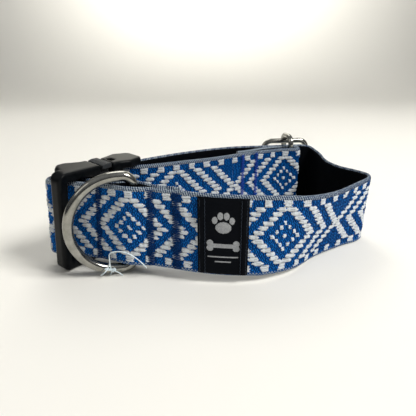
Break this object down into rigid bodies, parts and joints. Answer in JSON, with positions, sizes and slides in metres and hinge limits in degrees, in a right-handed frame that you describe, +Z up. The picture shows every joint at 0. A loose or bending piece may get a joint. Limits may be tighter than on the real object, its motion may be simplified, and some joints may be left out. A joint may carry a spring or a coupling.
{
  "type": "dog collar",
  "caption": "Flat adjustable dog collar of lined jacquard webbing with a side-release buckle, a swinging D-ring for a lead, a sewn label and a wire slider.",
  "frame": {"origin": "middle of the collar's outline on the surface it stands on", "axes": "+X along the collar's longest side, from the buckle towards the bend; +Z up, across the strap's width"},
  "size_m": [0.1671, 0.1046, 0.0528],
  "materials": {
    "webbing_blue": "blue and white jacquard webbing with raised white floats",
    "lining_black": "plain black ribbed webbing",
    "plastic_black": "satin moulded acetal",
    "nickel": "polished nickel plate on steel wire",
    "label_black": "black satin woven label",
    "stitch_navy": "navy sewing thread",
    "stitch_royal": "royal blue sewing thread",
    "thread_white": "thin white tag thread"
  },
  "bodies": {
    "front_half": {"strap_face_front": "webbing_blue", "strap_lining_front": "lining_black", "stitch_front_1": "stitch_navy", "stitch_front_2": "stitch_navy", "stitch_front_3": "stitch_navy", "label": "label_black", "label_hem_left": "label_black", "label_hem_right": "label_black", "buckle_female": "plastic_black"},
    "ring": {"d_ring": "nickel", "tag_thread": "thread_white"},
    "rear_half": {"strap_face_rear": "webbing_blue", "strap_lining_rear": "lining_black", "strap_face_middle": "webbing_blue", "strap_lining_middle": "lining_black", "buckle_male": "plastic_black"},
    "prong_top": {"prong_upper": "plastic_black"},
    "prong_bottom": {"prong_lower": "plastic_black"},
    "slider": {"slider_frame": "nickel", "slider_bar": "nickel", "strap_face_tail": "webbing_blue", "strap_lining_tail": "lining_black", "stitch_tail_1": "stitch_royal", "stitch_tail_2": "stitch_royal"}
  },
  "joints": [
    {"name": "ring_swing", "type": "hinge", "parent": "front_half", "child": "ring", "pos_m": [-0.03905, -0.03956, 0.0254], "axis": [0.0234, -0.0339, 0.9992], "range_deg": [0, 120], "deforming": ["tag_thread"]},
    {"name": "buckle_release", "type": "slide", "parent": "front_half", "child": "rear_half", "axis": [0.5606, 0.8281, 0], "range_m": [0, 0.02]},
    {"name": "prong_top_squeeze", "type": "hinge", "parent": "rear_half", "child": "prong_top", "pos_m": [-0.05494, -0.01529, 0.04104], "axis": [0.8232, -0.5574, -0.108], "range_deg": [0, 6], "stiffness_Nm_per_rad": 0.05},
    {"name": "prong_bottom_squeeze", "type": "hinge", "parent": "rear_half", "child": "prong_bottom", "pos_m": [-0.0578, -0.01335, 0.00923], "axis": [-0.8232, 0.5574, 0.108], "range_deg": [0, 6], "stiffness_Nm_per_rad": 0.05},
    {"name": "slider_adjust", "type": "slide", "parent": "rear_half", "child": "slider", "axis": [-0.9877, -0.1565, 0], "range_m": [0, 0.015], "deforming": ["strap_face_middle", "strap_lining_middle"]}
  ]
}
